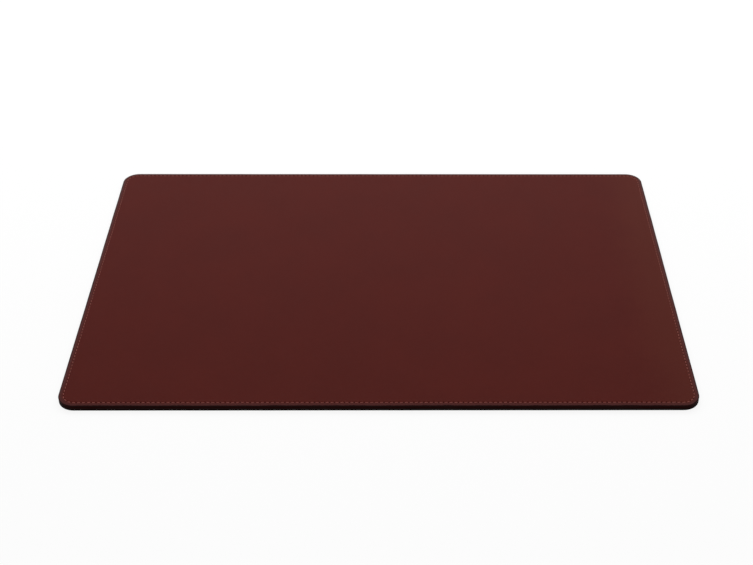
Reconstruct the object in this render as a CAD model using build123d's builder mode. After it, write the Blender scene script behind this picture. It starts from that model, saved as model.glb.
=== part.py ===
from build123d import *
from math import sqrt
import os

# Leather desk pad that lies flat on a desk, in millimetres.
# The origin is on the desk under the middle of the pad.
# +X runs along the front edge, +Y towards the back and +Z up.

# Outline
pad_width = 500.0
pad_depth = 337.0
corner_radius = 14.0

# Layers, from the desk up
backing_thickness = 1.2
core_thickness = 2.4
leather_thickness = 1.4

# Cut edge: the leather's rim is rolled over above an upright strip, and the backing is eased
rim_upright = 0.4
foot_bevel = 0.25

# Seam, and the furrows that it is pulled into on both faces
seam_inset = 4.0
stitch_pitch = 3.84
stitch_gap = 1.0
thread_width = 0.64
needle_furrow_depth = 0.42
bobbin_furrow_depth = 0.36
furrow_lip = 0.35

# Clearances of a stitch in its furrow
side_clearance = 0.06
crest_clearance = 0.04

# Heights of the glued faces and of the writing surface
core_level = backing_thickness
leather_level = core_level + core_thickness
pad_top = leather_level + leather_thickness
rim_radius = leather_thickness - rim_upright

# The seam runs parallel to the outline, round the same corner centres
seam_width = pad_width - 2 * seam_inset
seam_depth = pad_depth - 2 * seam_inset
seam_radius = corner_radius - seam_inset

# A stitch is straight, so in a corner the furrow leaves room for its bow across the bend
stitch_length = stitch_pitch - stitch_gap
stitch_bow = seam_radius - sqrt(seam_radius**2 - (stitch_length / 2) ** 2)
furrow_floor = thread_width + 2 * (stitch_bow + side_clearance)
furrow_mouth = furrow_floor + 2 * furrow_lip

# The upper thread stands round on its furrow's floor, and the pad's weight flattens the lower one
needle_crest = needle_furrow_depth - crest_clearance
needle_shoulder = needle_crest / 2
bobbin_crest = bobbin_furrow_depth - crest_clearance
bobbin_crest_width = thread_width / 2
bobbin_crest_length = stitch_length - thread_width

# Seam line at the height of the desk
with BuildSketch() as seam_outline:
    RectangleRounded(seam_width, seam_depth, seam_radius)
seam_path = seam_outline.face().outer_wire()
seam_start = seam_path.position_at(0)
across_seam = Plane(seam_start, x_dir=Vector(0, 0, 1), z_dir=seam_path.tangent_at(0))
stitch_count = round(seam_path.length / stitch_pitch)


def stitch_places(level: float, upwards: int) -> list[Location]:
    """Places of the stitches along the seam, on a furrow floor at this height."""
    places = []
    for number in range(stitch_count):
        share = (number + 0.5) / stitch_count
        middle = seam_path.position_at(share) + Vector(0, 0, level)
        along = seam_path.tangent_at(share)
        places.append(Plane(middle, x_dir=along, z_dir=(0, 0, upwards)).location)
    return places


def furrow_section(face_level: float, floor_level: float) -> Sketch:
    """Cross-section of a furrow, from the face that it is pressed into down to its floor."""
    with BuildSketch(across_seam, mode=Mode.PRIVATE) as section:
        with BuildLine():
            Polyline(
                (face_level, -furrow_mouth / 2),
                (face_level, furrow_mouth / 2),
                (floor_level, furrow_floor / 2),
                (floor_level, -furrow_floor / 2),
                close=True,
            )
        make_face()
    return section.sketch


# Backing: the soft underside, with the furrow of the lower thread
with BuildPart() as backing:
    with BuildSketch():
        RectangleRounded(pad_width, pad_depth, corner_radius)
    extrude(amount=backing_thickness)
    chamfer(backing.faces().sort_by(Axis.Z)[0].edges(), foot_bevel)
    sweep(furrow_section(0, bobbin_furrow_depth), path=seam_path, mode=Mode.SUBTRACT)
backing.part.label = "backing"

# Core board: the stiffener between the backing and the leather
with BuildPart() as core_board:
    with BuildSketch(Plane.XY.offset(core_level)):
        RectangleRounded(pad_width, pad_depth, corner_radius)
    extrude(amount=core_thickness)
core_board.part.label = "core_board"

# Top leather: the writing surface, with a rolled rim and the furrow of the upper thread
with BuildPart() as top_leather:
    with BuildSketch(Plane.XY.offset(leather_level)):
        RectangleRounded(pad_width, pad_depth, corner_radius)
    extrude(amount=leather_thickness)
    fillet(top_leather.faces().sort_by(Axis.Z)[-1].edges(), rim_radius)
    sweep(
        furrow_section(pad_top, pad_top - needle_furrow_depth),
        path=seam_path,
        mode=Mode.SUBTRACT,
    )
top_leather.part.label = "top_leather"

# One stitch of the upper thread: a bar with upright shoulders and a ridge along its crest
with BuildPart() as needle_stitch:
    with BuildSketch(Plane.YZ):
        with BuildLine():
            Polyline(
                (-thread_width / 2, 0),
                (thread_width / 2, 0),
                (thread_width / 2, needle_shoulder),
                (0, needle_crest),
                (-thread_width / 2, needle_shoulder),
                close=True,
            )
        make_face()
    extrude(amount=stitch_length / 2, both=True)

# Needle thread: the row of stitches that shows round the writing surface
with BuildPart() as needle_thread:
    with Locations(*stitch_places(pad_top - needle_furrow_depth, 1)):
        add(needle_stitch.part)
needle_thread.part.label = "needle_thread"

# One stitch of the lower thread: a flatter bar, with a crest that is drawn in on all four sides
with BuildPart() as bobbin_stitch:
    with BuildSketch():
        Rectangle(stitch_length, thread_width)
    with BuildSketch(Plane.XY.offset(bobbin_crest)):
        Rectangle(bobbin_crest_length, bobbin_crest_width)
    loft(ruled=True)

# Bobbin thread: the row of stitches on the underside, held clear of the desk
with BuildPart() as bobbin_thread:
    with Locations(*stitch_places(bobbin_furrow_depth, -1)):
        add(bobbin_stitch.part)
bobbin_thread.part.label = "bobbin_thread"

os.makedirs("parts", exist_ok=True)
for layer in (backing, core_board, top_leather, needle_thread, bobbin_thread):
    export_step(layer.part, f"parts/{layer.part.label}.step")
print(f"{stitch_count} stitches on a seam of {seam_path.length:.1f} mm")
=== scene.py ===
"""Visual model of a stitched leather desk pad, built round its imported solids."""

import logging
import math
from dataclasses import dataclass
from enum import Enum
from typing import Callable

import bpy
import numpy as np
from mathutils import Matrix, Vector
from mathutils.geometry import delaunay_2d_cdt


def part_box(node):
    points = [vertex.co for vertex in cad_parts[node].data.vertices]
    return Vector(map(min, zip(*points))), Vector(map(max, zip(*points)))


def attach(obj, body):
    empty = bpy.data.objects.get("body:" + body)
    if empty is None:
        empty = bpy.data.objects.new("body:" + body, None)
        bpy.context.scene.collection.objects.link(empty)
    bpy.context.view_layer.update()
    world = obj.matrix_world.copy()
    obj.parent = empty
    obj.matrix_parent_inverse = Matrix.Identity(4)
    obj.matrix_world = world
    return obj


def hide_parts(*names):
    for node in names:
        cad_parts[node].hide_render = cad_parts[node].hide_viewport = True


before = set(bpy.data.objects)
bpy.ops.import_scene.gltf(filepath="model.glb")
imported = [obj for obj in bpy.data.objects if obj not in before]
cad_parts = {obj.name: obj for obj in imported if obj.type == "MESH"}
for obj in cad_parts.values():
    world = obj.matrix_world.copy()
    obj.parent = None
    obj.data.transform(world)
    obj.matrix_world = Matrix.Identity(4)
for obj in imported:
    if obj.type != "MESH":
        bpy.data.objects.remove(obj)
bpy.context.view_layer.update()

LOG = logging.getLogger("desk_pad")
MM = 0.001
BODY = "root"
WHITE = (1.0, 1.0, 1.0, 1.0)

Colour = tuple[float, float, float]
Vector3 = tuple[float, float, float]


class Field:
    """A value that varies over a piece, held as one output socket of a node tree.

    Arithmetic on a field adds Math nodes to its tree and gives another field.
    """

    def __init__(self, tree: "NodeTree", socket: bpy.types.NodeSocket) -> None:
        """Wrap an output socket of a tree."""
        self.tree = tree
        self.socket = socket

    def maths(self, operation: str, *operands: "Field | float") -> "Field":
        """Result of one Math node, from its operation and its inputs in order."""
        inputs = dict(enumerate(operands))
        return self.tree.field("ShaderNodeMath", "Value", {"operation": operation}, inputs)

    def __add__(self, other: "Field | float") -> "Field":
        """Sum of this field and another value."""
        return self.maths("ADD", self, other)

    def __radd__(self, other: float) -> "Field":
        """Sum of a number and this field."""
        return self.maths("ADD", other, self)

    def __sub__(self, other: "Field | float") -> "Field":
        """This field less another value."""
        return self.maths("SUBTRACT", self, other)

    def __rsub__(self, other: float) -> "Field":
        """A number less this field."""
        return self.maths("SUBTRACT", other, self)

    def __mul__(self, other: "Field | float") -> "Field":
        """Product of this field and another value."""
        return self.maths("MULTIPLY", self, other)

    def __rmul__(self, other: float) -> "Field":
        """Product of a number and this field."""
        return self.maths("MULTIPLY", other, self)

    def fraction(self) -> "Field":
        """What is left of this field after its whole part."""
        return self.maths("FRACT", self)

    def rise(self, low: float, high: float) -> "Field":
        """Smooth step of this field.

        Args:
            low: Value at which the step is 0.
            high: Value at which the step is 1.

        Returns:
            A field from 0 to 1.
        """
        settings = {"interpolation_type": "SMOOTHSTEP"}
        inputs = {"Value": self, "From Min": low, "From Max": high}
        return self.tree.field("ShaderNodeMapRange", "Result", settings, inputs)


def mix(*parts: tuple[Field, float]) -> Field:
    """Sum of fields, each times its share."""
    fields = [field * share for field, share in parts]
    return sum(fields[1:], fields[0])


class NodeTree:
    """A node tree of any kind, filled by one method."""

    def __init__(self, nodes: bpy.types.NodeTree) -> None:
        """Wrap the tree to fill."""
        self.nodes = nodes

    def node(
        self, kind: str, settings: dict | None = None, inputs: dict | None = None
    ) -> bpy.types.Node:
        """Add one node.

        Args:
            kind: The node's type.
            settings: Its own properties, which are set first.
            inputs: Socket name or number to a value, a socket or a field.

        Returns:
            The new node.
        """
        made = self.nodes.nodes.new(kind)
        for name, value in (settings or {}).items():
            setattr(made, name, value)
        for name, value in (inputs or {}).items():
            target = made.inputs[name] if isinstance(name, int) else self.find(made.inputs, name)
            source = value.socket if isinstance(value, Field) else value
            if isinstance(source, bpy.types.NodeSocket):
                self.nodes.links.new(source, target)
            else:
                target.default_value = source
        return made

    @staticmethod
    def find(sockets: bpy.types.bpy_prop_collection, name: str) -> bpy.types.NodeSocket:
        """First socket with this identifier, or else the one with this name."""
        fitting = [socket for socket in sockets if socket.identifier == name]
        return fitting[0] if fitting else sockets[name]

    def field(
        self, kind: str, output: str, settings: dict | None = None, inputs: dict | None = None
    ) -> Field:
        """Add one node, as node() does, and wrap its output of this name."""
        made = self.node(kind, settings, inputs)
        return Field(self, self.find(made.outputs, output))


class CellDistance(Enum):
    """What a pattern of cells is measured to, as the Voronoi node's feature."""

    MIDDLE = "F1"
    BORDER = "DISTANCE_TO_EDGE"


@dataclass(frozen=True)
class Noise:
    """One soft noise among several.

    Attributes:
        size: Size of its largest forms.
        share: What it counts for in a sum, or how far it moves a point.
        detail: Number of finer octaves on top.
    """

    size: float
    share: float
    detail: float = 2.0


class ShaderTree(NodeTree):
    """The node tree of one material."""

    def __init__(self, name: str) -> None:
        """Start an empty material.

        Args:
            name: The material's name.
        """
        self.material = bpy.data.materials.new(name)
        self.material.use_nodes = True
        super().__init__(self.material.node_tree)
        self.nodes.nodes.clear()

    def place(self, stretch: Vector3 = (1.0, 1.0, 1.0)) -> Field:
        """Position on the object in metres; a small factor draws a pattern out along its axis."""
        inputs = {"Vector": self.field("ShaderNodeTexCoord", "Object"), "Scale": stretch}
        return self.field("ShaderNodeMapping", "Vector", None, inputs)

    def attribute(self, name: str) -> Field:
        """Value that a mesh carries on its points, by its name."""
        return self.field("ShaderNodeAttribute", "Fac", {"attribute_name": name})

    def part(self, vector: Field, axis: str) -> Field:
        """One component of a vector, X, Y or Z."""
        return self.field("ShaderNodeSeparateXYZ", axis, None, {"Vector": vector})

    def noise(self, place: Field, size: float, detail: float = 2.0) -> Field:
        """Soft noise from 0 to 1, with its largest forms of this size and finer octaves on top."""
        inputs = {"Vector": place, "Scale": 1 / size, "Detail": detail}
        return self.field("ShaderNodeTexNoise", "Fac", None, inputs)

    def noises(self, place: Field, kinds: tuple[Noise, ...]) -> Field:
        """Sum of several noises, each times its share."""
        return mix(*((self.noise(place, kind.size, kind.detail), kind.share) for kind in kinds))

    def waver(self, place: Field, kinds: tuple[Noise, ...]) -> Field:
        """Sum of several noises less its middle, so that it reaches as far down as up."""
        return self.noises(place, kinds) - sum(kind.share for kind in kinds) / 2

    def warped(self, place: Field, kind: Noise) -> Field:
        """Position pushed about by noise, so that a pattern loses its regular look.

        Args:
            place: The position.
            kind: The noise, whose share is how far a point may move.

        Returns:
            The moved position.
        """
        inputs = {"Vector": place, "Scale": 1 / kind.size, "Detail": kind.detail}
        push = self.field("ShaderNodeTexNoise", "Color", None, inputs)
        inputs = {0: push, 1: (kind.share, kind.share, kind.share), 2: place}
        return self.field("ShaderNodeVectorMath", "Vector", {"operation": "MULTIPLY_ADD"}, inputs)

    def cells(self, place: Field, size: float, distance: CellDistance) -> Field:
        """Distance, in cells, in a pattern of cells of this size."""
        inputs = {"Vector": place, "Scale": 1 / size}
        return self.field("ShaderNodeTexVoronoi", "Distance", {"feature": distance.value}, inputs)

    def blend(
        self, mask: Field, first: Colour | Field, second: Colour | Field, share: float = 1.0
    ) -> Field:
        """Colour that runs from one to another.

        Args:
            mask: 0 for the first colour, 1 for the second.
            first: The first colour.
            second: The second colour.
            share: How much of the second colour shows where the mask is 1.

        Returns:
            The mixed colour.
        """
        inputs = {"Factor_Float": mask if share == 1.0 else mask * share}
        for socket, colour in (("A_Color", first), ("B_Color", second)):
            inputs[socket] = colour if isinstance(colour, Field) else (*colour, 1.0)
        return self.field("ShaderNodeMix", "Result_Color", {"data_type": "RGBA"}, inputs)

    def bump(self, height: Field, depth: float) -> Field:
        """Normal of a surface whose relief, from 0 to 1, is this deep in metres."""
        return self.field("ShaderNodeBump", "Normal", None, {"Height": height, "Distance": depth})

    def surface(self, inputs: dict) -> bpy.types.Material:
        """Finish the material.

        Args:
            inputs: Values of the Principled shader's sockets.

        Returns:
            The material.
        """
        shader = self.node("ShaderNodeBsdfPrincipled", None, inputs)
        self.node("ShaderNodeOutputMaterial", None, {"Surface": shader.outputs["BSDF"]})
        return self.material


@dataclass(frozen=True)
class LeatherFinish:
    """Oxblood leather with a fine even grain and a dyed cut edge, with painted sheen on its margin
    and +X side, and painted shade on its margin, creases and holes.

    Attributes:
        dye_level: Height above the desk where the edge dye begins.
        dye_blur: Half the height over which it begins.
        dye_waver: Noises that move its border up and down.
        deep: Colour of the darker cloudy patches.
        pale: Colour of the lighter cloudy patches.
        margin: Colour of the margin outside the seam and of the rolled rim, greyer and darker than
            the field: painted sheen and painted shade.
        side_sheen: Colour of the field near its +X side, lighter: a painted sheen.
        dye: Colour of the dyed cut edge.
        crease_shade: Colour of the painted shade in the grain's creases and in the seam's needle
            holes.
        clouds: Noises that the cloudy patches are mixed from.
        sheen_start: Place along X where the painted sheen begins.
        sheen_end: Place along X from which the painted sheen is full.
        sheen_sway: How far the patches move that stretch about.
        tangle: Noise that bends the grain.
        grain: Size of a grain cell.
        wrinkle: Size of the cells that the wrinkles run round.
        pore: Size of the cells that have a pore each.
        fuzz: Size of the finest relief.
        grain_depth: Depth of the creases between the cells.
        specular: Strength of the reflection.
    """

    dye_level: float
    dye_blur: float = 0.06 * MM
    dye_waver: tuple[Noise, ...] = (Noise(1.4 * MM, 0.16 * MM, 3.0), Noise(15 * MM, 0.26 * MM))
    deep: Colour = (0.0708, 0.0086, 0.0060)
    pale: Colour = (0.0792, 0.0102, 0.0072)
    margin: Colour = (0.0630, 0.0168, 0.0155)
    side_sheen: Colour = (0.0850, 0.0155, 0.0095)
    dye: Colour = (0.0105, 0.0010, 0.0006)
    crease_shade: Colour = (0.0430, 0.0045, 0.0031)
    clouds: tuple[Noise, ...] = (Noise(55 * MM, 0.7, 3.0), Noise(6 * MM, 0.3))
    sheen_start: float = 198 * MM
    sheen_end: float = 245 * MM
    sheen_sway: float = 45 * MM
    tangle: Noise = Noise(3.2 * MM, 0.48 * MM)
    grain: float = 0.8 * MM
    wrinkle: float = 2.16 * MM
    pore: float = 1.28 * MM
    fuzz: float = 0.28 * MM
    grain_depth: float = 0.045 * MM
    specular: float = 0.05

    def material(self) -> bpy.types.Material:
        """Build the finish.

        Returns:
            The material.
        """
        tree = ShaderTree("oxblood_leather")
        place = tree.place()
        warped = tree.warped(place, self.tangle)
        pebbles = tree.cells(warped, self.grain, CellDistance.BORDER).rise(0.0, 0.22)
        wrinkles = tree.cells(warped, self.wrinkle, CellDistance.BORDER).rise(0.0, 0.06)
        pores = tree.cells(warped, self.pore, CellDistance.MIDDLE).rise(0.05, 0.14)
        fuzz = tree.noise(place, self.fuzz, 3.0)
        relief = mix((pebbles, 0.45), (wrinkles, 0.25), (pores, 0.15), (fuzz, 0.15))

        clouds = tree.noises(place, self.clouds)
        colour = tree.blend(clouds.rise(0.3, 0.7), self.deep, self.pale)
        # Painted sheen: the field turns lighter towards its +X side
        across = tree.part(place, "X") + (clouds - 0.5) * self.sheen_sway
        side_sheen = across.rise(self.sheen_start, self.sheen_end)
        colour = tree.blend(side_sheen, colour, self.side_sheen, share=0.8)
        # Painted shade in the grain's creases
        colour = tree.blend(1 - relief, colour, self.crease_shade, share=0.45)
        # Painted sheen and shade: the margin and rolled rim turn greyer and darker than the field;
        # the same mask makes them smoother
        margin_mask = tree.attribute("rim").rise(0.0, 0.8)
        colour = tree.blend(margin_mask, colour, self.margin, share=0.9)
        # Painted shade in the seam's needle holes and the deepest part of its furrow
        holes = tree.attribute("press").rise(0.4, 1.0)
        colour = tree.blend(holes, colour, self.crease_shade, share=0.2)

        height = tree.part(place, "Z") + tree.waver(place, self.dye_waver)
        dyed = 1 - height.rise(self.dye_level - self.dye_blur, self.dye_level + self.dye_blur)
        rough = mix((relief, 0.05), (clouds, 0.08), (dyed, 0.12), (margin_mask, -0.12))
        return tree.surface(
            {
                "Base Color": tree.blend(dyed, colour, self.dye),
                "Roughness": 0.5 + rough,
                "Specular IOR Level": self.specular,
                "Normal": tree.bump(relief, self.grain_depth),
            }
        )


@dataclass(frozen=True)
class BoardFinish:
    """Cut edge of bonded leatherboard, dyed near black over its fibres.

    Attributes:
        top: Height of the board's upper face, from which the leather's dye soaks in.
        soak_full: Depth below it to which that dye is full.
        soak_end: Depth where it ends.
        soak_waver: Noises that move its border up and down.
        strand_sway: How far the fibres move that border.
        soaked: Colour where it has soaked in.
        dark: Colour between the fibres.
        fibre: Colour of the fibres that took less dye.
        lay: Height of one layer of fibres.
        run: Length over which a fibre is seen.
        speck: Size of the specks among them.
        relief_depth: Depth between the fibres.
        specular: Strength of the reflection.
    """

    top: float
    soak_full: float = 0.5 * MM
    soak_end: float = 1.4 * MM
    soak_waver: tuple[Noise, ...] = (Noise(40 * MM, 2.0 * MM),)
    strand_sway: float = 0.8 * MM
    soaked: Colour = (0.0145, 0.0012, 0.0008)
    dark: Colour = (0.0062, 0.0019, 0.0016)
    fibre: Colour = (0.0205, 0.0095, 0.0085)
    lay: float = 0.22 * MM
    run: float = 5.0 * MM
    speck: float = 0.3 * MM
    relief_depth: float = 0.06 * MM
    specular: float = 0.02

    def material(self) -> bpy.types.Material:
        """Build the finish.

        Returns:
            The material.
        """
        tree = ShaderTree("dyed_board")
        place = tree.place()
        drawn_out = tree.place((self.lay / self.run, self.lay / self.run, 1.0))
        strands = tree.noise(drawn_out, self.lay, 4.0)
        relief = mix((strands, 0.7), (tree.noise(place, self.speck, 3.0), 0.3))
        colour = tree.blend(relief.rise(0.35, 0.68), self.dark, self.fibre)
        waver = tree.waver(place, self.soak_waver) + (strands - 0.5) * self.strand_sway
        height = tree.part(place, "Z") + waver
        soak = height.rise(self.top - self.soak_end, self.top - self.soak_full)
        return tree.surface(
            {
                "Base Color": tree.blend(soak, colour, self.soaked),
                "Roughness": 0.78 - relief * 0.15,
                "Specular IOR Level": self.specular,
                "Normal": tree.bump(relief, self.relief_depth),
            }
        )


@dataclass(frozen=True)
class SuedeFinish:
    """Black suede underside, with a short brushed nap.

    Attributes:
        low: Colour deep in the nap.
        tips: Colour of the nap's tips.
        press: Colour in the seam's furrow and needle holes, darker than the nap.
        dye: Colour of the dyed cut edge.
        tangle: Noise that bends the nap.
        nap: Size of a tuft of the nap.
        stroke: Width of a stroke of the brush.
        stroke_run: Length of a stroke, along X.
        patch: Size of the patches that lie differently.
        nap_depth: Depth of the nap.
        specular: Strength of the reflection.
        sheen: Strength of the nap's sheen.
    """

    low: Colour = (0.0100, 0.0090, 0.0088)
    tips: Colour = (0.0380, 0.0345, 0.0335)
    press: Colour = (0.0080, 0.0072, 0.0070)
    dye: Colour = (0.0060, 0.0030, 0.0028)
    tangle: Noise = Noise(2 * MM, 0.3 * MM)
    nap: float = 0.32 * MM
    stroke: float = 9 * MM
    stroke_run: float = 75 * MM
    patch: float = 38 * MM
    nap_depth: float = 0.09 * MM
    specular: float = 0.03
    sheen: float = 0.05

    def material(self) -> bpy.types.Material:
        """Build the finish.

        Returns:
            The material.
        """
        tree = ShaderTree("black_suede")
        place = tree.place()
        tufts = tree.noise(tree.warped(place, self.tangle), self.nap, 4.0)
        drawn_out = tree.place((self.stroke / self.stroke_run, 1.0, 1.0))
        strokes = tree.noise(drawn_out, self.stroke)
        nap = mix((tufts, 0.6), (strokes, 0.25), (tree.noise(place, self.patch), 0.15))
        colour = tree.blend(nap.rise(0.32, 0.68), self.low, self.tips)
        # Darker in the seam's furrow and needle holes
        colour = tree.blend(tree.attribute("press"), colour, self.press, share=0.7)
        return tree.surface(
            {
                "Base Color": tree.blend(tree.attribute("rim"), colour, self.dye),
                "Roughness": 0.88 + tufts * 0.1,
                "Specular IOR Level": self.specular,
                "Sheen Weight": self.sheen,
                "Sheen Roughness": 0.5,
                "Normal": tree.bump(mix((tufts, 0.75), (strokes, 0.25)), self.nap_depth),
            }
        )


@dataclass(frozen=True)
class ThreadFinish:
    """Bonded sewing thread of twisted plies, drawn on the stitches' own UV map.

    The map runs once round the thread in U, and once for each lay of the plies along it in V.

    Attributes:
        name: The material's name.
        ply_shade: Colour between two plies, darkened as painted shade.
        ply_light: Colour on top of a ply, lightened as a painted highlight.
        plies: Number of plies.
        fibre: Size of the fibres in a ply.
        ply_depth: Depth between two plies.
        specular: Strength of the reflection.
        sheen: Strength of the fibres' sheen.
    """

    name: str
    ply_shade: Colour
    ply_light: Colour
    plies: int = 3
    fibre: float = 0.12 * MM
    ply_depth: float = 0.05 * MM
    specular: float = 0.12
    sheen: float = 0.05

    def material(self) -> bpy.types.Material:
        """Build the finish.

        Returns:
            The material.
        """
        tree = ShaderTree(self.name)
        wrap = tree.field("ShaderNodeUVMap", "UV", {"uv_map": "wrap"})
        turn = (tree.part(wrap, "X") + tree.part(wrap, "Y")) * self.plies
        across = turn.fraction() * 2 - 1
        ply = 1 - across * across
        fibres = tree.noise(tree.place(), self.fibre, 3.0)
        # Painted shade between the plies and painted highlight on their tops, mixed with the
        # fibres' own tone
        shade = mix((ply, 0.8), (fibres, 0.35))
        return tree.surface(
            {
                "Base Color": tree.blend(shade.rise(0.1, 0.95), self.ply_shade, self.ply_light),
                "Roughness": 0.55 + fibres * 0.15,
                "Specular IOR Level": self.specular,
                "Sheen Weight": self.sheen,
                "Normal": tree.bump(mix((ply, 0.85), (fibres, 0.15)), self.ply_depth),
            }
        )


@dataclass(frozen=True)
class SeamLine:
    """The stitched line that runs parallel to the pad's rounded outline.

    A station is a distance along the line, from the middle of the front edge towards +X.

    Attributes:
        width: Width of the pad along X.
        depth: Depth of the pad along Y.
        corner_radius: Radius of the pad's corners.
        inset: Distance of the line from the outline.
        stitch_pitch: Wished distance from one needle hole to the next.
    """

    width: float
    depth: float
    corner_radius: float = 14.0 * MM
    inset: float = 4.0 * MM
    stitch_pitch: float = 3.84 * MM

    @property
    def radius(self) -> float:
        """Radius of the line in the corners."""
        return self.corner_radius - self.inset

    @property
    def length(self) -> float:
        """Length of the line, once round."""
        straight = 2 * (self.width + self.depth) - 8 * self.corner_radius
        return straight + 2 * math.pi * self.radius

    @property
    def stitches(self) -> int:
        """Number of stitches in the line."""
        return round(self.length / self.stitch_pitch)

    @property
    def pitch(self) -> float:
        """Real distance from one needle hole to the next."""
        return self.length / self.stitches

    def trace(self, stations: np.ndarray) -> tuple[np.ndarray, np.ndarray]:
        """Find the line's points and its outward directions.

        The line is its corners' centre, which moves along each side, plus a turning radius.

        Args:
            stations: Distances along the line.

        Returns:
            The points and the unit vectors that point out of the pad, one row for each station.
        """
        reach_x = self.width / 2 - self.corner_radius
        reach_y = self.depth / 2 - self.corner_radius
        bend = math.pi / 2 * self.radius
        runs = [0, reach_x, bend, 2 * reach_y, bend, 2 * reach_x, bend, 2 * reach_y, bend, reach_x]
        knots = np.cumsum(runs)
        quarter = np.radians([-90, -90, 0, 0, 90, 90, 180, 180, 270, 270])
        centre_x = reach_x * np.array([0, 1, 1, 1, 1, -1, -1, -1, -1, 0])
        centre_y = reach_y * np.array([-1, -1, -1, 1, 1, 1, 1, -1, -1, -1])
        turned = np.mod(stations, self.length)
        angle, x, y = (np.interp(turned, knots, values) for values in (quarter, centre_x, centre_y))
        outward = np.column_stack([np.cos(angle), np.sin(angle)])
        return np.column_stack([x, y]) + self.radius * outward, outward

    def stations(self, shares: tuple[float, ...]) -> np.ndarray:
        """Stations at these shares of each stitch, from 0 at its first needle hole, once round."""
        first = np.arange(self.stitches)[:, None]
        return ((first + np.array(shares)[None, :]) * self.pitch).ravel()


@dataclass(frozen=True)
class Drift:
    """Slow uneven drift of a cut edge, in from the outline.

    Attributes:
        least: Smallest drift.
        spread: How much larger the largest is.
        waves: Numbers of waves round the pad that it is mixed from.
        seed: Seed of the mix.
    """

    least: float
    spread: float
    waves: range
    seed: int

    def along(self, stations: np.ndarray, length: float) -> np.ndarray:
        """Find the drift.

        Args:
            stations: Distances along the seam line.
            length: Length of that line.

        Returns:
            The drift at each station.
        """
        draw = np.random.default_rng(self.seed)
        drift = np.zeros_like(stations)
        for wave in self.waves:
            weight, turn = draw.random(2)
            drift += weight * np.cos(2 * math.pi * (wave * stations / length + turn))
        low, high = drift.min(), drift.max()
        return self.least + self.spread * (drift - low) / (high - low)


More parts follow.
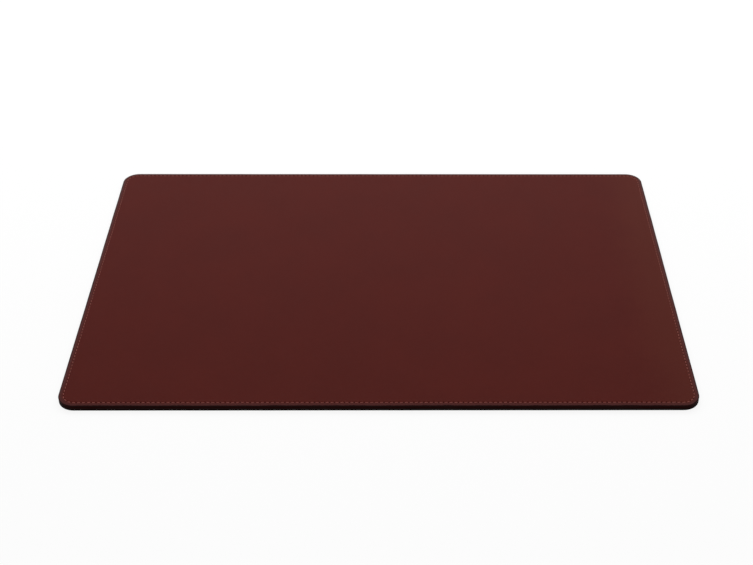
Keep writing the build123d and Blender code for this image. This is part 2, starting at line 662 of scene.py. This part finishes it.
class LoopSolid:
    """A closed mesh made of loops that run round the pad, each outside or below the last.

    Attributes:
        net_width: Distance between the points of the net that fills a loop.
        weld: Distance within which that net takes two points for one.
        sharp_angle: Angle in degrees above which an edge stays sharp.
    """

    net_width = 12 * MM
    weld = 1e-9
    sharp_angle = 50.0

    def __init__(self, name: str, line: SeamLine, stations: np.ndarray) -> None:
        """Start an empty solid.

        Args:
            name: Name of the piece.
            line: The seam line that the loops run beside.
            stations: Where each loop has its points.
        """
        self.name = name
        self.line = line
        self.anchors, self.outward = line.trace(stations)
        self.points: list[np.ndarray] = []
        self.faces: list[tuple[int, ...]] = []
        self.marks: dict[str, list[np.ndarray]] = {"press": [], "rim": []}
        self.loops: list[np.ndarray] = []

    def add_points(self, points: np.ndarray, **marks: np.ndarray | float) -> np.ndarray:
        """Add points with no faces.

        Args:
            points: One row for each point.
            **marks: For the finish, from 0 to 1: press, how far the seam presses a point in,
            and rim, how much it belongs to the outer margin and rim.

        Returns:
            The points' numbers.
        """
        start = sum(len(block) for block in self.points)
        self.points.append(points)
        for name, blocks in self.marks.items():
            blocks.append(np.broadcast_to(marks.get(name, 0.0), len(points)))
        return np.arange(start, start + len(points))

    def loop(
        self, inset: np.ndarray | float, level: np.ndarray | float, **marks: np.ndarray | float
    ) -> None:
        """Add the next loop, and the band of faces from the last one to it.

        Args:
            inset: Distance in from the outline.
            level: Height above the desk.
            **marks: As for add_points.
        """
        reach = np.broadcast_to(self.line.inset - np.asarray(inset), len(self.anchors))
        flat = self.anchors + reach[:, None] * self.outward
        level = np.broadcast_to(level, len(flat))
        ring = self.add_points(np.column_stack([flat, level]), **marks)
        if self.loops:
            inner, after = self.loops[-1], np.roll(self.loops[-1], -1)
            self.faces += zip(inner, ring, np.roll(ring, -1), after)
        self.loops.append(ring)

    def cap(self, upwards: bool) -> None:
        """Close the first loop by a flat face that looks up, or the last by one that looks down.

        Args:
            upwards: Whether it is the first.
        """
        ring = self.loops[0 if upwards else -1]
        height = np.concatenate(self.points)[ring[0], 2]
        self.fill(ring, lambda x, y: np.full_like(x, height), upwards)

    def thin_out(self, every: int, points: np.ndarray) -> np.ndarray:
        """Join the first loop to a coarser one inside it, by faces that look up.

        Args:
            every: How many of the loop's points there are for each coarse one.
            points: The coarse points, of which the first lies beside the loop's first.

        Returns:
            The coarse points' numbers.
        """
        fine = self.loops[0]
        coarse = self.add_points(points)
        half = every // 2
        for step, (near, far) in enumerate(zip(coarse, np.roll(coarse, -1))):
            span = fine[np.arange(step * every, (step + 1) * every + 1) % len(fine)]
            self.faces += [(near, a, b) for a, b in zip(span[:half], span[1 : half + 1])]
            self.faces += [(far, a, b) for a, b in zip(span[half:-1], span[half + 1 :])]
            self.faces.append((near, span[half], far))
        return coarse

    def fill(self, edge: np.ndarray, level: Callable, upwards: bool) -> None:
        """Fill a loop with an even net of triangles.

        Args:
            edge: The loop's point numbers.
            level: Function from X and Y arrays to a height.
            upwards: Whether the faces look up.
        """
        rim = np.concatenate(self.points)[edge]
        reach = np.abs(rim[:, :2]).max(axis=0) - self.net_width / 2
        lines = [np.linspace(-far, far, round(2 * far / self.net_width)) for far in reach]
        inner = np.stack(np.meshgrid(*lines), axis=-1).reshape(-1, 2)
        off_x, off_y = (np.abs(inner) - reach + self.line.corner_radius).clip(0).T
        inner = inner[np.hypot(off_x, off_y) < self.line.corner_radius]
        added = self.add_points(np.column_stack([inner, level(inner[:, 0], inner[:, 1])]))
        numbers = np.concatenate([edge, added])
        sites = [tuple(site) for site in np.concatenate([rim[:, :2], inner])]
        outline = list(range(len(edge)))
        inside_only = 1
        net = delaunay_2d_cdt(sites, [], [outline], inside_only, self.weld)
        _, _, faces, origins, _, _ = net
        back = [origin[0] for origin in origins]
        for face in faces:
            corners = tuple(numbers[back[corner]] for corner in face)
            self.faces.append(corners if upwards else corners[::-1])

    def finish(self, material: bpy.types.Material) -> bpy.types.Object:
        """Make the mesh and its object.

        Args:
            material: The piece's finish.

        Returns:
            The object.
        """
        mesh = bpy.data.meshes.new(self.name)
        faces = [tuple(int(corner) for corner in face) for face in self.faces]
        mesh.from_pydata(np.concatenate(self.points).tolist(), [], faces)
        for name, blocks in self.marks.items():
            layer = mesh.attributes.new(name, "FLOAT", "POINT")
            layer.data.foreach_set("value", np.concatenate(blocks).astype(np.float32))
        mesh.materials.append(material)
        mesh.validate()
        mesh.shade_smooth()
        mesh.set_sharp_from_angle(angle=math.radians(self.sharp_angle))
        return link_piece(self.name, mesh)


def link_piece(name: str, mesh: bpy.types.Mesh) -> bpy.types.Object:
    """Put a mesh into the scene.

    Args:
        name: Name of the piece.
        mesh: Its mesh, placed in the pad's own frame.

    Returns:
        The object.
    """
    piece = bpy.data.objects.new(name, mesh)
    bpy.context.scene.collection.objects.link(piece)
    return piece


@dataclass(frozen=True)
class Furrow:
    """The groove that a thread pulls into a face, with a pit at each needle hole.

    Attributes:
        depth: Depth half way between two holes.
        width: Half the groove's width where its sides are steepest.
        pit_depth: Extra depth of a needle hole.
        pit_radius: Radius of a needle hole.
        pucker: Share by which the groove widens at a hole.
    """

    depth: float = 0.20 * MM
    width: float = 0.50 * MM
    pit_depth: float = 0.36 * MM
    pit_radius: float = 0.42 * MM
    pucker: float = 0.28

    def sink(self, aside: np.ndarray | float, along: np.ndarray, pitch: float) -> np.ndarray:
        """Find how far the face is pressed in.

        Args:
            aside: Distance from the seam line.
            along: Stations along it, with a needle hole at each whole pitch.
            pitch: Distance between two holes.

        Returns:
            The depth at each station.
        """
        phase = 2 * math.pi * along / pitch
        to_hole = np.abs(np.mod(along / pitch + 0.5, 1.0) - 0.5) * pitch
        width = self.width * (1 + self.pucker * np.cos(phase))
        groove = self.depth * np.exp(-((aside / width) ** 2))
        pit = self.pit_depth * np.exp(-((aside**2 + to_hole**2) / self.pit_radius**2))
        return groove + pit

    @property
    def deepest(self) -> float:
        """Depth at the middle of a needle hole."""
        return self.depth + self.pit_depth


@dataclass(frozen=True)
class Layer:
    """One of the pad's three glued layers.

    Attributes:
        line: The seam line.
        base: Height of its lower face.
        top: Height of its upper face.
    """

    line: SeamLine
    base: float
    top: float


@dataclass(frozen=True)
class TopLeather(Layer):
    """The leather face: a flat field, the seam's furrow, a rolled rim and a dyed cut edge.

    Attributes:
        rim_radius: Radius of the rolled rim.
        edge_fall: How much lower the margin lies at the rim than at the seam.
        field_relief: Largest hollow in the field.
        field_border: Distance from the outline over which the hollows fade out.
        net_inset: Distance from the outline where the field's coarse net begins.
        ease: Size of the bevel along its lower edge.
        dyed_share: Height of the edge dye up the rolled rim, as a share of its radius.
        furrow: The groove of the upper thread.
        drift: Unevenness of its cut edge.
    """

    rim_radius: float = 0.7 * MM
    edge_fall: float = 0.28 * MM
    field_relief: float = 0.05 * MM
    field_border: float = 60 * MM
    net_inset: float = 9.5 * MM
    ease: float = 0.09 * MM
    dyed_share: float = 0.98
    furrow: Furrow = Furrow()
    drift: Drift = Drift(least=0.0, spread=0.10 * MM, waves=range(5, 40), seed=3)

    # Points of a loop as shares of a stitch, and loops by their distance from the seam in mm
    shares = (0.0, 0.07, 0.17, 0.36, 0.64, 0.83, 0.93)
    from_seam = (
        *(3.1, 1.9, 1.4, 1.05, 0.75, 0.5, 0.25, 0),
        *(-0.25, -0.5, -0.75, -1.05, -1.4, -1.8, -2.3, -2.8),
    )
    rim_degrees = (90, 72, 54, 36, 18, 0)
    # Waves in the field: radians for each metre along X and along Y, and a start
    swells = ((31, 4, 0.7), (-9, 23, 0.4), (13, 47, 0.0))

    def hollow(self, x: np.ndarray, y: np.ndarray) -> np.ndarray:
        """Find the height of the field, which is very slightly uneven.

        Args:
            x: Places along X.
            y: Places along Y.

        Returns:
            The heights.
        """
        first, second, third = (a * x + b * y + start for a, b, start in self.swells)
        # The swell runs from -2 to 2
        swell = np.sin(first) * np.cos(second) + np.sin(third)
        fade = np.clip((self.line.depth / 2 - np.abs(y)) / self.field_border, 0, 1)
        fade = fade * np.clip((self.line.width / 2 - np.abs(x)) / self.field_border, 0, 1)
        return self.top - self.field_relief * fade * (swell + 2) / 4

    def build(self) -> bpy.types.Object:
        """Build and dress the leather.

        Returns:
            The piece.
        """
        line = self.line
        stations = line.stations(self.shares)
        solid = LoopSolid("leather_face", line, stations)
        drift = self.drift.along(stations, line.length)
        for aside in np.array(self.from_seam) * MM:
            sink = self.furrow.sink(aside, stations, line.pitch)
            inset = line.inset + aside
            margin = np.clip((line.inset - inset) / (line.inset - self.rim_radius), 0, 1)
            level = self.top - sink - self.edge_fall * margin**2
            press = sink / self.furrow.deepest
            solid.loop(inset + drift * margin, level, press=press, rim=margin)
        shoulder = self.top - self.edge_fall - self.rim_radius
        for degrees in self.rim_degrees:
            turn = math.radians(degrees)
            inset = self.rim_radius * (1 - math.cos(turn)) + drift
            solid.loop(inset, shoulder + self.rim_radius * math.sin(turn), rim=1.0)
        solid.loop(drift, self.base + self.ease)
        solid.loop(drift + self.ease, self.base)
        solid.cap(upwards=False)

        anchors, outward = line.trace(line.stations((0.0,)))
        flat = anchors - (self.net_inset - line.inset) * outward
        level = self.hollow(flat[:, 0], flat[:, 1])
        coarse = solid.thin_out(len(self.shares), np.column_stack([flat, level]))
        solid.fill(coarse, self.hollow, upwards=True)
        finish = LeatherFinish(dye_level=shoulder + self.dyed_share * self.rim_radius)
        return dress(solid.finish(finish.material()), "top_leather", "face_leather")


@dataclass(frozen=True)
class CoreBoard(Layer):
    """The bonded board between the leather and the backing, seen only at its cut edge.

    Attributes:
        ease: Size of the bevels along its edges.
        fray: How far a fibre's end may lie in.
        fray_seed: Seed of the fibres' ends.
        drift: Unevenness of its cut edge.
    """

    ease: float = 0.10 * MM
    fray: float = 0.035 * MM
    fray_seed: int = 12
    drift: Drift = Drift(least=0.04 * MM, spread=0.10 * MM, waves=range(6, 60), seed=11)

    # Points of a loop as shares of a stitch, and the number of loops on the cut edge
    shares = (0.0, 0.26, 0.5, 0.73)
    edge_loops = 7

    def build(self) -> bpy.types.Object:
        """Build and dress the board.

        Returns:
            The piece.
        """
        stations = self.line.stations(self.shares)
        solid = LoopSolid("board_core", self.line, stations)
        drift = self.drift.along(stations, self.line.length)
        solid.loop(drift + self.ease, self.top)
        draw = np.random.default_rng(self.fray_seed)
        for step in np.linspace(0, 1, self.edge_loops):
            level = self.top - self.ease - step * (self.top - self.base - 2 * self.ease)
            solid.loop(drift + self.fray * draw.random(len(stations)), level)
        solid.loop(drift + self.ease, self.base)
        solid.cap(upwards=True)
        solid.cap(upwards=False)
        finish = BoardFinish(top=self.top)
        return dress(solid.finish(finish.material()), "core_board", "bonded_board")


@dataclass(frozen=True)
class Backing(Layer):
    """The suede underside, with the lower thread's furrow.

    Attributes:
        foot_radius: Radius of its worn lower edge.
        ease: Size of the bevel along its upper edge.
        furrow: The groove of the lower thread.
        drift: Unevenness of its cut edge.
    """

    foot_radius: float = 0.16 * MM
    ease: float = 0.08 * MM
    furrow: Furrow = Furrow(depth=0.34 * MM, width=0.6 * MM, pit_depth=0.3 * MM)
    drift: Drift = Drift(least=0.01 * MM, spread=0.08 * MM, waves=range(5, 50), seed=21)

    # Points of a loop as shares of a stitch, and loops by their distance from the seam in mm
    shares = (0.0, 0.09, 0.24, 0.5, 0.76, 0.91)
    from_seam = (-2.8, -1.9, -1.2, -0.8, -0.5, -0.25, 0, 0.25, 0.5, 0.8, 1.3, 2.1, 3.5)
    foot_degrees = (0, 30, 60, 90)

    def build(self) -> bpy.types.Object:
        """Build and dress the backing.

        Returns:
            The piece.
        """
        line = self.line
        stations = line.stations(self.shares)
        solid = LoopSolid("suede_backing", line, stations)
        drift = self.drift.along(stations, line.length)
        solid.loop(drift + self.ease, self.top, rim=1.0)
        solid.loop(drift, self.top - self.ease, rim=1.0)
        for degrees in self.foot_degrees:
            turn = math.radians(degrees)
            inset = self.foot_radius * (1 - math.cos(turn)) + drift
            level = self.base + self.foot_radius * (1 - math.sin(turn))
            solid.loop(inset, level, rim=math.cos(turn))
        for aside in np.array(self.from_seam) * MM:
            sink = self.furrow.sink(aside, stations, line.pitch)
            solid.loop(line.inset + aside, self.base + sink, press=sink / self.furrow.deepest)
        solid.cap(upwards=True)
        solid.cap(upwards=False)
        return dress(solid.finish(SuedeFinish().material()), "backing", "suede_backing")


class Face(Enum):
    """The pad's two faces, as the direction that each looks in."""

    WRITING = 1
    UNDERSIDE = -1


class GeometryTree(NodeTree):
    """A Geometry Nodes tree with named inputs, run once on a piece."""

    def __init__(self, name: str, inputs: dict[str, str]) -> None:
        """Start a tree.

        Args:
            name: The tree's name.
            inputs: Name of each input to its socket type.
        """
        super().__init__(bpy.data.node_groups.new(name, "GeometryNodeTree"))
        geometry = {"name": "Geometry", "socket_type": "NodeSocketGeometry"}
        interface = self.nodes.interface
        interface.new_socket(in_out="INPUT", **geometry)
        self.identifiers = {
            key: interface.new_socket(key, in_out="INPUT", socket_type=kind).identifier
            for key, kind in inputs.items()
        }
        interface.new_socket(in_out="OUTPUT", **geometry)
        given = self.node("NodeGroupInput").outputs
        self.given = {key: Field(self, given[key]) for key in ("Geometry", *inputs)}

    def chance(self, kind: str, suffix: str, low: Field, high: Field) -> Field:
        """Seeded random value between two; the suffix marks the sockets of its kind."""
        inputs = {"Min" + suffix: low, "Max" + suffix: high, "Seed": self.given["Seed"]}
        return self.field("FunctionNodeRandomValue", "Value" + suffix, {"data_type": kind}, inputs)

    def run(self, piece: bpy.types.Object, values: dict[str, object]) -> None:
        """Turn a piece into the tree's result, as a plain mesh.

        Args:
            piece: The piece, whose mesh is the tree's geometry.
            values: The tree's inputs.
        """
        modifier = piece.modifiers.new(self.nodes.name, "NODES")
        modifier.node_group = self.nodes
        for key, value in values.items():
            modifier[self.identifiers[key]] = value
        piece.update_tag()
        graph = bpy.context.evaluated_depsgraph_get()
        mesh = bpy.data.meshes.new_from_object(piece.evaluated_get(graph))
        piece.modifiers.remove(modifier)
        piece.data = mesh


def stitch_tree() -> GeometryTree:
    """Build the tree that sews a row of stitches along a closed line of points.

    Returns:
        The tree.
    """
    tree = GeometryTree(
        "sew_row",
        {
            "Stitch": "NodeSocketObject",
            "Stitch Count": "NodeSocketInt",
            "Turn Over": "NodeSocketFloat",
            "Slant": "NodeSocketFloat",
            "Slant Spread": "NodeSocketFloat",
            "Stray": "NodeSocketFloat",
            "Seed": "NodeSocketInt",
            "Thread": "NodeSocketMaterial",
        },
    )
    given, field = tree.given, tree.field
    curve = field("GeometryNodeMeshToCurve", "Curve", None, {"Mesh": given["Geometry"]})
    inputs = {"Curve": curve, "Count": given["Stitch Count"]}
    evened = field("GeometryNodeResampleCurve", "Curve", {"mode": "COUNT"}, inputs)

    settings = {"axis": "X", "pivot_axis": "Z"}
    tangent = field("GeometryNodeInputTangent", "Tangent")
    aligned = field("FunctionNodeAlignRotationToVector", "Rotation", settings, {"Vector": tangent})
    middle, spread = given["Slant"], given["Slant Spread"]
    slant = tree.chance("FLOAT", "_001", middle - spread, middle + spread)
    turned = field("ShaderNodeCombineXYZ", "Vector", None, {"X": given["Turn Over"], "Z": slant})
    tilt = field("FunctionNodeEulerToRotation", "Rotation", None, {"Euler": turned})
    settings = {"rotation_space": "LOCAL"}
    inputs = {"Rotation": aligned, "Rotate By": tilt}
    rotation = field("FunctionNodeRotateRotation", "Rotation", settings, inputs)

    ends = [
        field("ShaderNodeCombineXYZ", "Vector", None, {"X": reach, "Y": reach})
        for reach in (given["Stray"] * -1.0, given["Stray"])
    ]
    inputs = {"Geometry": evened, "Offset": tree.chance("FLOAT_VECTOR", "", *ends)}
    moved = field("GeometryNodeSetPosition", "Geometry", None, inputs)
    stitch = field("GeometryNodeObjectInfo", "Geometry", None, {"Object": given["Stitch"]})
    inputs = {"Points": moved, "Instance": stitch, "Rotation": rotation}
    row = field("GeometryNodeInstanceOnPoints", "Instances", None, inputs)
    real = field("GeometryNodeRealizeInstances", "Geometry", None, {"Geometry": row})
    inputs = {"Geometry": real, "Material": given["Thread"]}
    dressed = field("GeometryNodeSetMaterial", "Geometry", None, inputs)
    tree.node("NodeGroupOutput", None, {"Geometry": dressed})
    return tree


@dataclass(frozen=True)
class ThreadRow:
    """One thread of the seam: the row of stitches that shows on one face.

    Attributes:
        name: Name of the piece.
        node: The solid that it stands for.
        face: The face that it shows on.
        line: The seam line.
        crest: Height of the stitches' outer side.
        finish: The thread's finish.
        radius: Radius of the thread.
        dive: How far a stitch's ends go down into their needle holes.
        slant: Angle of a stitch off the seam line, in radians.
        slant_spread: How far that angle varies, to either side.
        stray: How far a stitch may lie off its place, along X and along Y.
        seed: Seed of the row, to which the face's direction is added.
    """

    name: str
    node: str
    face: Face
    line: SeamLine
    crest: float
    finish: ThreadFinish
    radius: float = 0.30 * MM
    dive: float = 0.55 * MM
    slant: float = 0.055
    slant_spread: float = 0.02
    stray: float = 0.03 * MM
    seed: int = 7

    sides = 8
    # Half a stitch: shares of half the pitch, of the dive and of the radius
    half_profile = ((0.38, 0.0, 1.0), (0.56, 0.09, 0.98), (0.70, 0.40, 0.92), (0.80, 1.0, 0.84))
    # Length in which the plies turn once round the thread
    lay_length = 1.7 * MM

    def stitch(self) -> bpy.types.Object:
        """Make one stitch: an arched length of thread along X, with its crest at height 0.

        Returns:
            An object that is deleted once the row is sewn.
        """
        reach = self.line.pitch / 2
        half = [(share * reach, -fall * self.dive, size) for share, fall, size in self.half_profile]
        stops = [(-x, z, size) for x, z, size in reversed(half)] + half
        points, faces, wraps = [], [], []
        for x, z, size in stops:
            for side in range(self.sides):
                turn = 2 * math.pi * side / self.sides
                out = self.radius * size
                points.append((x, out * math.sin(turn), z - self.radius + out * math.cos(turn)))
        laid = [x / self.lay_length for x, _, _ in stops]
        for stop in range(len(stops) - 1):
            near, far = stop * self.sides, (stop + 1) * self.sides
            v_near, v_far = laid[stop : stop + 2]
            for side in range(self.sides):
                after = (side + 1) % self.sides
                faces.append((near + side, far + side, far + after, near + after))
                u_low, u_high = side / self.sides, (side + 1) / self.sides
                wraps += [(u_low, v_near), (u_low, v_far), (u_high, v_far), (u_high, v_near)]
        last = len(stops) - 1
        for stop, ring in ((0, range(self.sides)), (last, range(self.sides - 1, -1, -1))):
            faces.append(tuple(stop * self.sides + side for side in ring))
            wraps += [(side / self.sides, laid[stop]) for side in ring]
        mesh = bpy.data.meshes.new(self.name + "_stitch")
        mesh.from_pydata(points, [], faces)
        layer = mesh.uv_layers.new(name="wrap")
        layer.data.foreach_set("uv", np.array(wraps, dtype=np.float32).ravel())
        mesh.shade_smooth()
        return link_piece(self.name + "_stitch", mesh)

    def seam_points(self) -> bpy.types.Mesh:
        """Make the closed line of points that the stitches are sewn along.

        Returns:
            A mesh of points and edges, which starts half way between two needle holes.
        """
        flat, _ = self.line.trace(self.line.stations((0.5, 0.75, 1.0, 1.25)))
        points = np.column_stack([flat, np.full(len(flat), self.crest)])
        edges = [(number, (number + 1) % len(points)) for number in range(len(points))]
        mesh = bpy.data.meshes.new(self.name)
        mesh.from_pydata(points.tolist(), edges, [])
        return mesh

    def build(self, tree: GeometryTree) -> bpy.types.Object:
        """Sew the row and dress it.

        Args:
            tree: The tree that sews it.

        Returns:
            The piece.
        """
        stitch = self.stitch()
        piece = link_piece(self.name, self.seam_points())
        values = {
            "Stitch": stitch,
            "Stitch Count": self.line.stitches,
            "Turn Over": 0.0 if self.face is Face.WRITING else math.pi,
            "Slant": self.slant,
            "Slant Spread": self.slant_spread,
            "Stray": self.stray,
            "Seed": self.seed + self.face.value,
            "Thread": self.finish.material(),
        }
        tree.run(piece, values)
        bpy.data.objects.remove(stitch)
        return dress(piece, self.node, self.node)


def dress(piece: bpy.types.Object, node: str, slot: str) -> bpy.types.Object:
    """Hide the solid that a finished piece stands for, and attach the piece to the pad's body.

    Args:
        piece: The piece.
        node: The solid's node.
        slot: The record's material slot; not used.

    Returns:
        The piece.
    """
    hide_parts(node)
    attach(piece, BODY)
    return piece


@dataclass(frozen=True)
class SoftBox:
    """A large soft lamp behind the pad, turned to its middle.

    Attributes:
        name: The lamp's name.
        back: Its distance behind the pad's middle.
        height: Its height above the desk.
        width: Its size from left to right.
        depth: Its other size.
        power: Its power in watts.
        mirrored: Whether it shows in reflections.
    """

    name: str
    back: float
    height: float
    width: float
    depth: float
    power: float
    mirrored: bool

    def build(self) -> None:
        """Hang the lamp."""
        lamp = bpy.data.lights.new(self.name, "AREA")
        lamp.shape = "RECTANGLE"
        lamp.size = self.width
        lamp.size_y = self.depth
        lamp.energy = self.power
        holder = bpy.data.objects.new(self.name, lamp)
        holder.location = (0.0, self.back, self.height)
        holder.rotation_euler = (-math.atan2(self.back, self.height), 0.0, 0.0)
        holder.visible_glossy = self.mirrored
        bpy.context.scene.collection.objects.link(holder)


@dataclass(frozen=True)
class Studio:
    """A white floor, soft even light, and the camera at the photograph's place.

    Attributes:
        floor_reach: Half the floor's width.
        floor_level: Height of the floor, just under the pad.
        floor_colour: Brightness of the floor.
        floor_lift: Share of the floor that shows as plain white, so that its shadows stay faint.
        floor_fade: Distances between which the rest of the floor turns plain white.
        world_level: Brightness of the surroundings as a light.
        lamps: The soft boxes that hang over and behind the pad.
        camera_place: Place of the camera.
        camera_pitch: Angle of the view below the horizon, in degrees.
        camera_yaw: Turn of the view towards +X, in degrees.
        camera_roll: Tilt of the picture, in degrees.
        focal_pixels: Focal length in the photograph's pixels.
        axis_column: Pixels from the photograph's left side to the lens's axis.
        axis_row: Pixels from the photograph's upper side to the lens's axis.
        picture_width: Width of the photograph in pixels.
        picture_height: Height of the photograph in pixels.
    """

    floor_reach: float = 4.0
    floor_level: float = -0.05 * MM
    floor_colour: float = 0.94
    floor_lift: float = 0.87
    floor_fade: tuple[float, float] = (0.9, 3.6)
    world_level: float = 0.54
    lamps: tuple[SoftBox, ...] = (
        SoftBox("near_box", back=0.75, height=0.9, width=1.8, depth=0.5, power=9.9, mirrored=False),
        SoftBox("far_box", back=2.4, height=1.3, width=2.4, depth=1.0, power=10.0, mirrored=True),
    )
    camera_place: Vector3 = (0.0143, -0.9419, 0.6987)
    camera_pitch: float = 36.66
    camera_yaw: float = 0.471
    camera_roll: float = 0.275
    focal_pixels: float = 1340.5
    axis_column: float = 406.4
    axis_row: float = 283.0
    picture_width: float = 753.0
    picture_height: float = 565.0

    def seen(self, tree: NodeTree) -> Field:
        """Tell what the camera sees, itself or in a reflection, from what lights.

        Args:
            tree: A material's or the world's tree.

        Returns:
            A field that is 1 for what is seen.
        """
        path = tree.node("ShaderNodeLightPath").outputs
        camera, glossy, clear = (
            Field(tree, path[f"Is {ray} Ray"]) for ray in ("Camera", "Glossy", "Transmission")
        )
        rays = camera + glossy + clear
        return rays.maths("MINIMUM", rays, 1.0)

    def build_floor(self) -> None:
        """Lay the white floor."""
        reach = self.floor_reach
        mesh = bpy.data.meshes.new("floor")
        corners = [(-reach, -reach), (reach, -reach), (reach, reach), (-reach, reach)]
        mesh.from_pydata([(x, y, self.floor_level) for x, y in corners], [], [(0, 1, 2, 3)])
        tree = ShaderTree("white_floor")
        grey = (self.floor_colour, self.floor_colour, self.floor_colour, 1.0)
        matt = tree.field("ShaderNodeBsdfDiffuse", "BSDF", None, {"Color": grey})
        glow = {"Color": WHITE, "Strength": 1.0}
        plain = tree.field("ShaderNodeEmission", "Emission", None, glow)
        settings = {"operation": "LENGTH"}
        far = tree.field("ShaderNodeVectorMath", "Value", settings, {0: tree.place()})
        lift = self.floor_lift + far.rise(*self.floor_fade) * (1 - self.floor_lift)
        inputs = {0: self.seen(tree) * lift, 1: matt, 2: plain}
        mixed = tree.field("ShaderNodeMixShader", "Shader", None, inputs)
        tree.node("ShaderNodeOutputMaterial", None, {"Surface": mixed})
        mesh.materials.append(tree.material)
        link_piece("floor", mesh)

    def build_world(self) -> None:
        """Surround the scene with even light, which is seen as white."""
        world = bpy.data.worlds.new("studio")
        bpy.context.scene.world = world
        world.use_nodes = True
        tree = NodeTree(world.node_tree)
        world.node_tree.nodes.clear()
        glows = ({"Color": WHITE, "Strength": level} for level in (self.world_level, 1.0))
        light, backdrop = (
            tree.field("ShaderNodeBackground", "Background", None, glow) for glow in glows
        )
        inputs = {0: self.seen(tree), 1: light, 2: backdrop}
        mixed = tree.field("ShaderNodeMixShader", "Shader", None, inputs)
        tree.node("ShaderNodeOutputWorld", None, {"Surface": mixed})

    def build_camera(self) -> None:
        """Place the camera."""
        lens = bpy.data.cameras.new("camera")
        lens.lens = lens.sensor_width * self.focal_pixels / self.picture_width
        lens.shift_x = 0.5 - self.axis_column / self.picture_width
        lens.shift_y = (self.axis_row - self.picture_height / 2) / self.picture_width
        camera = bpy.data.objects.new("camera", lens)
        heading = Matrix.Rotation(math.radians(-self.camera_yaw), 4, "Z")
        tilt = Matrix.Rotation(math.radians(90 - self.camera_pitch), 4, "X")
        roll = Matrix.Rotation(math.radians(self.camera_roll), 4, "Z")
        camera.matrix_world = Matrix.Translation(self.camera_place) @ heading @ tilt @ roll
        bpy.context.scene.collection.objects.link(camera)
        bpy.context.scene.camera = camera

    def build(self) -> None:
        """Build the whole studio."""
        self.build_floor()
        self.build_world()
        for lamp in self.lamps:
            lamp.build()
        self.build_camera()
        bpy.context.scene.view_settings.view_transform = "Standard"


def main() -> None:
    """Build every piece of the pad inside the studio."""
    logging.basicConfig(level=logging.INFO, format="%(message)s")
    Studio().build()

    leather_low, leather_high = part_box("top_leather")
    board_low, board_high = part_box("core_board")
    backing_low, backing_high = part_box("backing")
    line = SeamLine(width=leather_high.x - leather_low.x, depth=leather_high.y - leather_low.y)
    tree = stitch_tree()
    brick = ThreadFinish("brick_thread", ply_shade=(0.160, 0.044, 0.035), ply_light=(0.330, 0.102, 0.082))
    black = ThreadFinish("black_thread", ply_shade=(0.012, 0.0105, 0.010), ply_light=(0.052, 0.047, 0.045))
    upper = ThreadRow(
        name="upper_stitching",
        node="needle_thread",
        face=Face.WRITING,
        line=line,
        crest=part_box("needle_thread")[1].z,
        finish=brick,
    )
    lower = ThreadRow(
        name="lower_stitching",
        node="bobbin_thread",
        face=Face.UNDERSIDE,
        line=line,
        crest=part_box("bobbin_thread")[0].z,
        finish=black,
        dive=0.5 * MM,
        slant=-0.055,
    )
    pieces = [
        TopLeather(line, leather_low.z, leather_high.z).build(),
        CoreBoard(line, board_low.z, board_high.z).build(),
        Backing(line, backing_low.z, backing_high.z).build(),
        upper.build(tree),
        lower.build(tree),
    ]
    for piece in pieces:
        LOG.info("%s: %d faces", piece.name, len(piece.data.polygons))


if __name__ == "__main__":
    main()
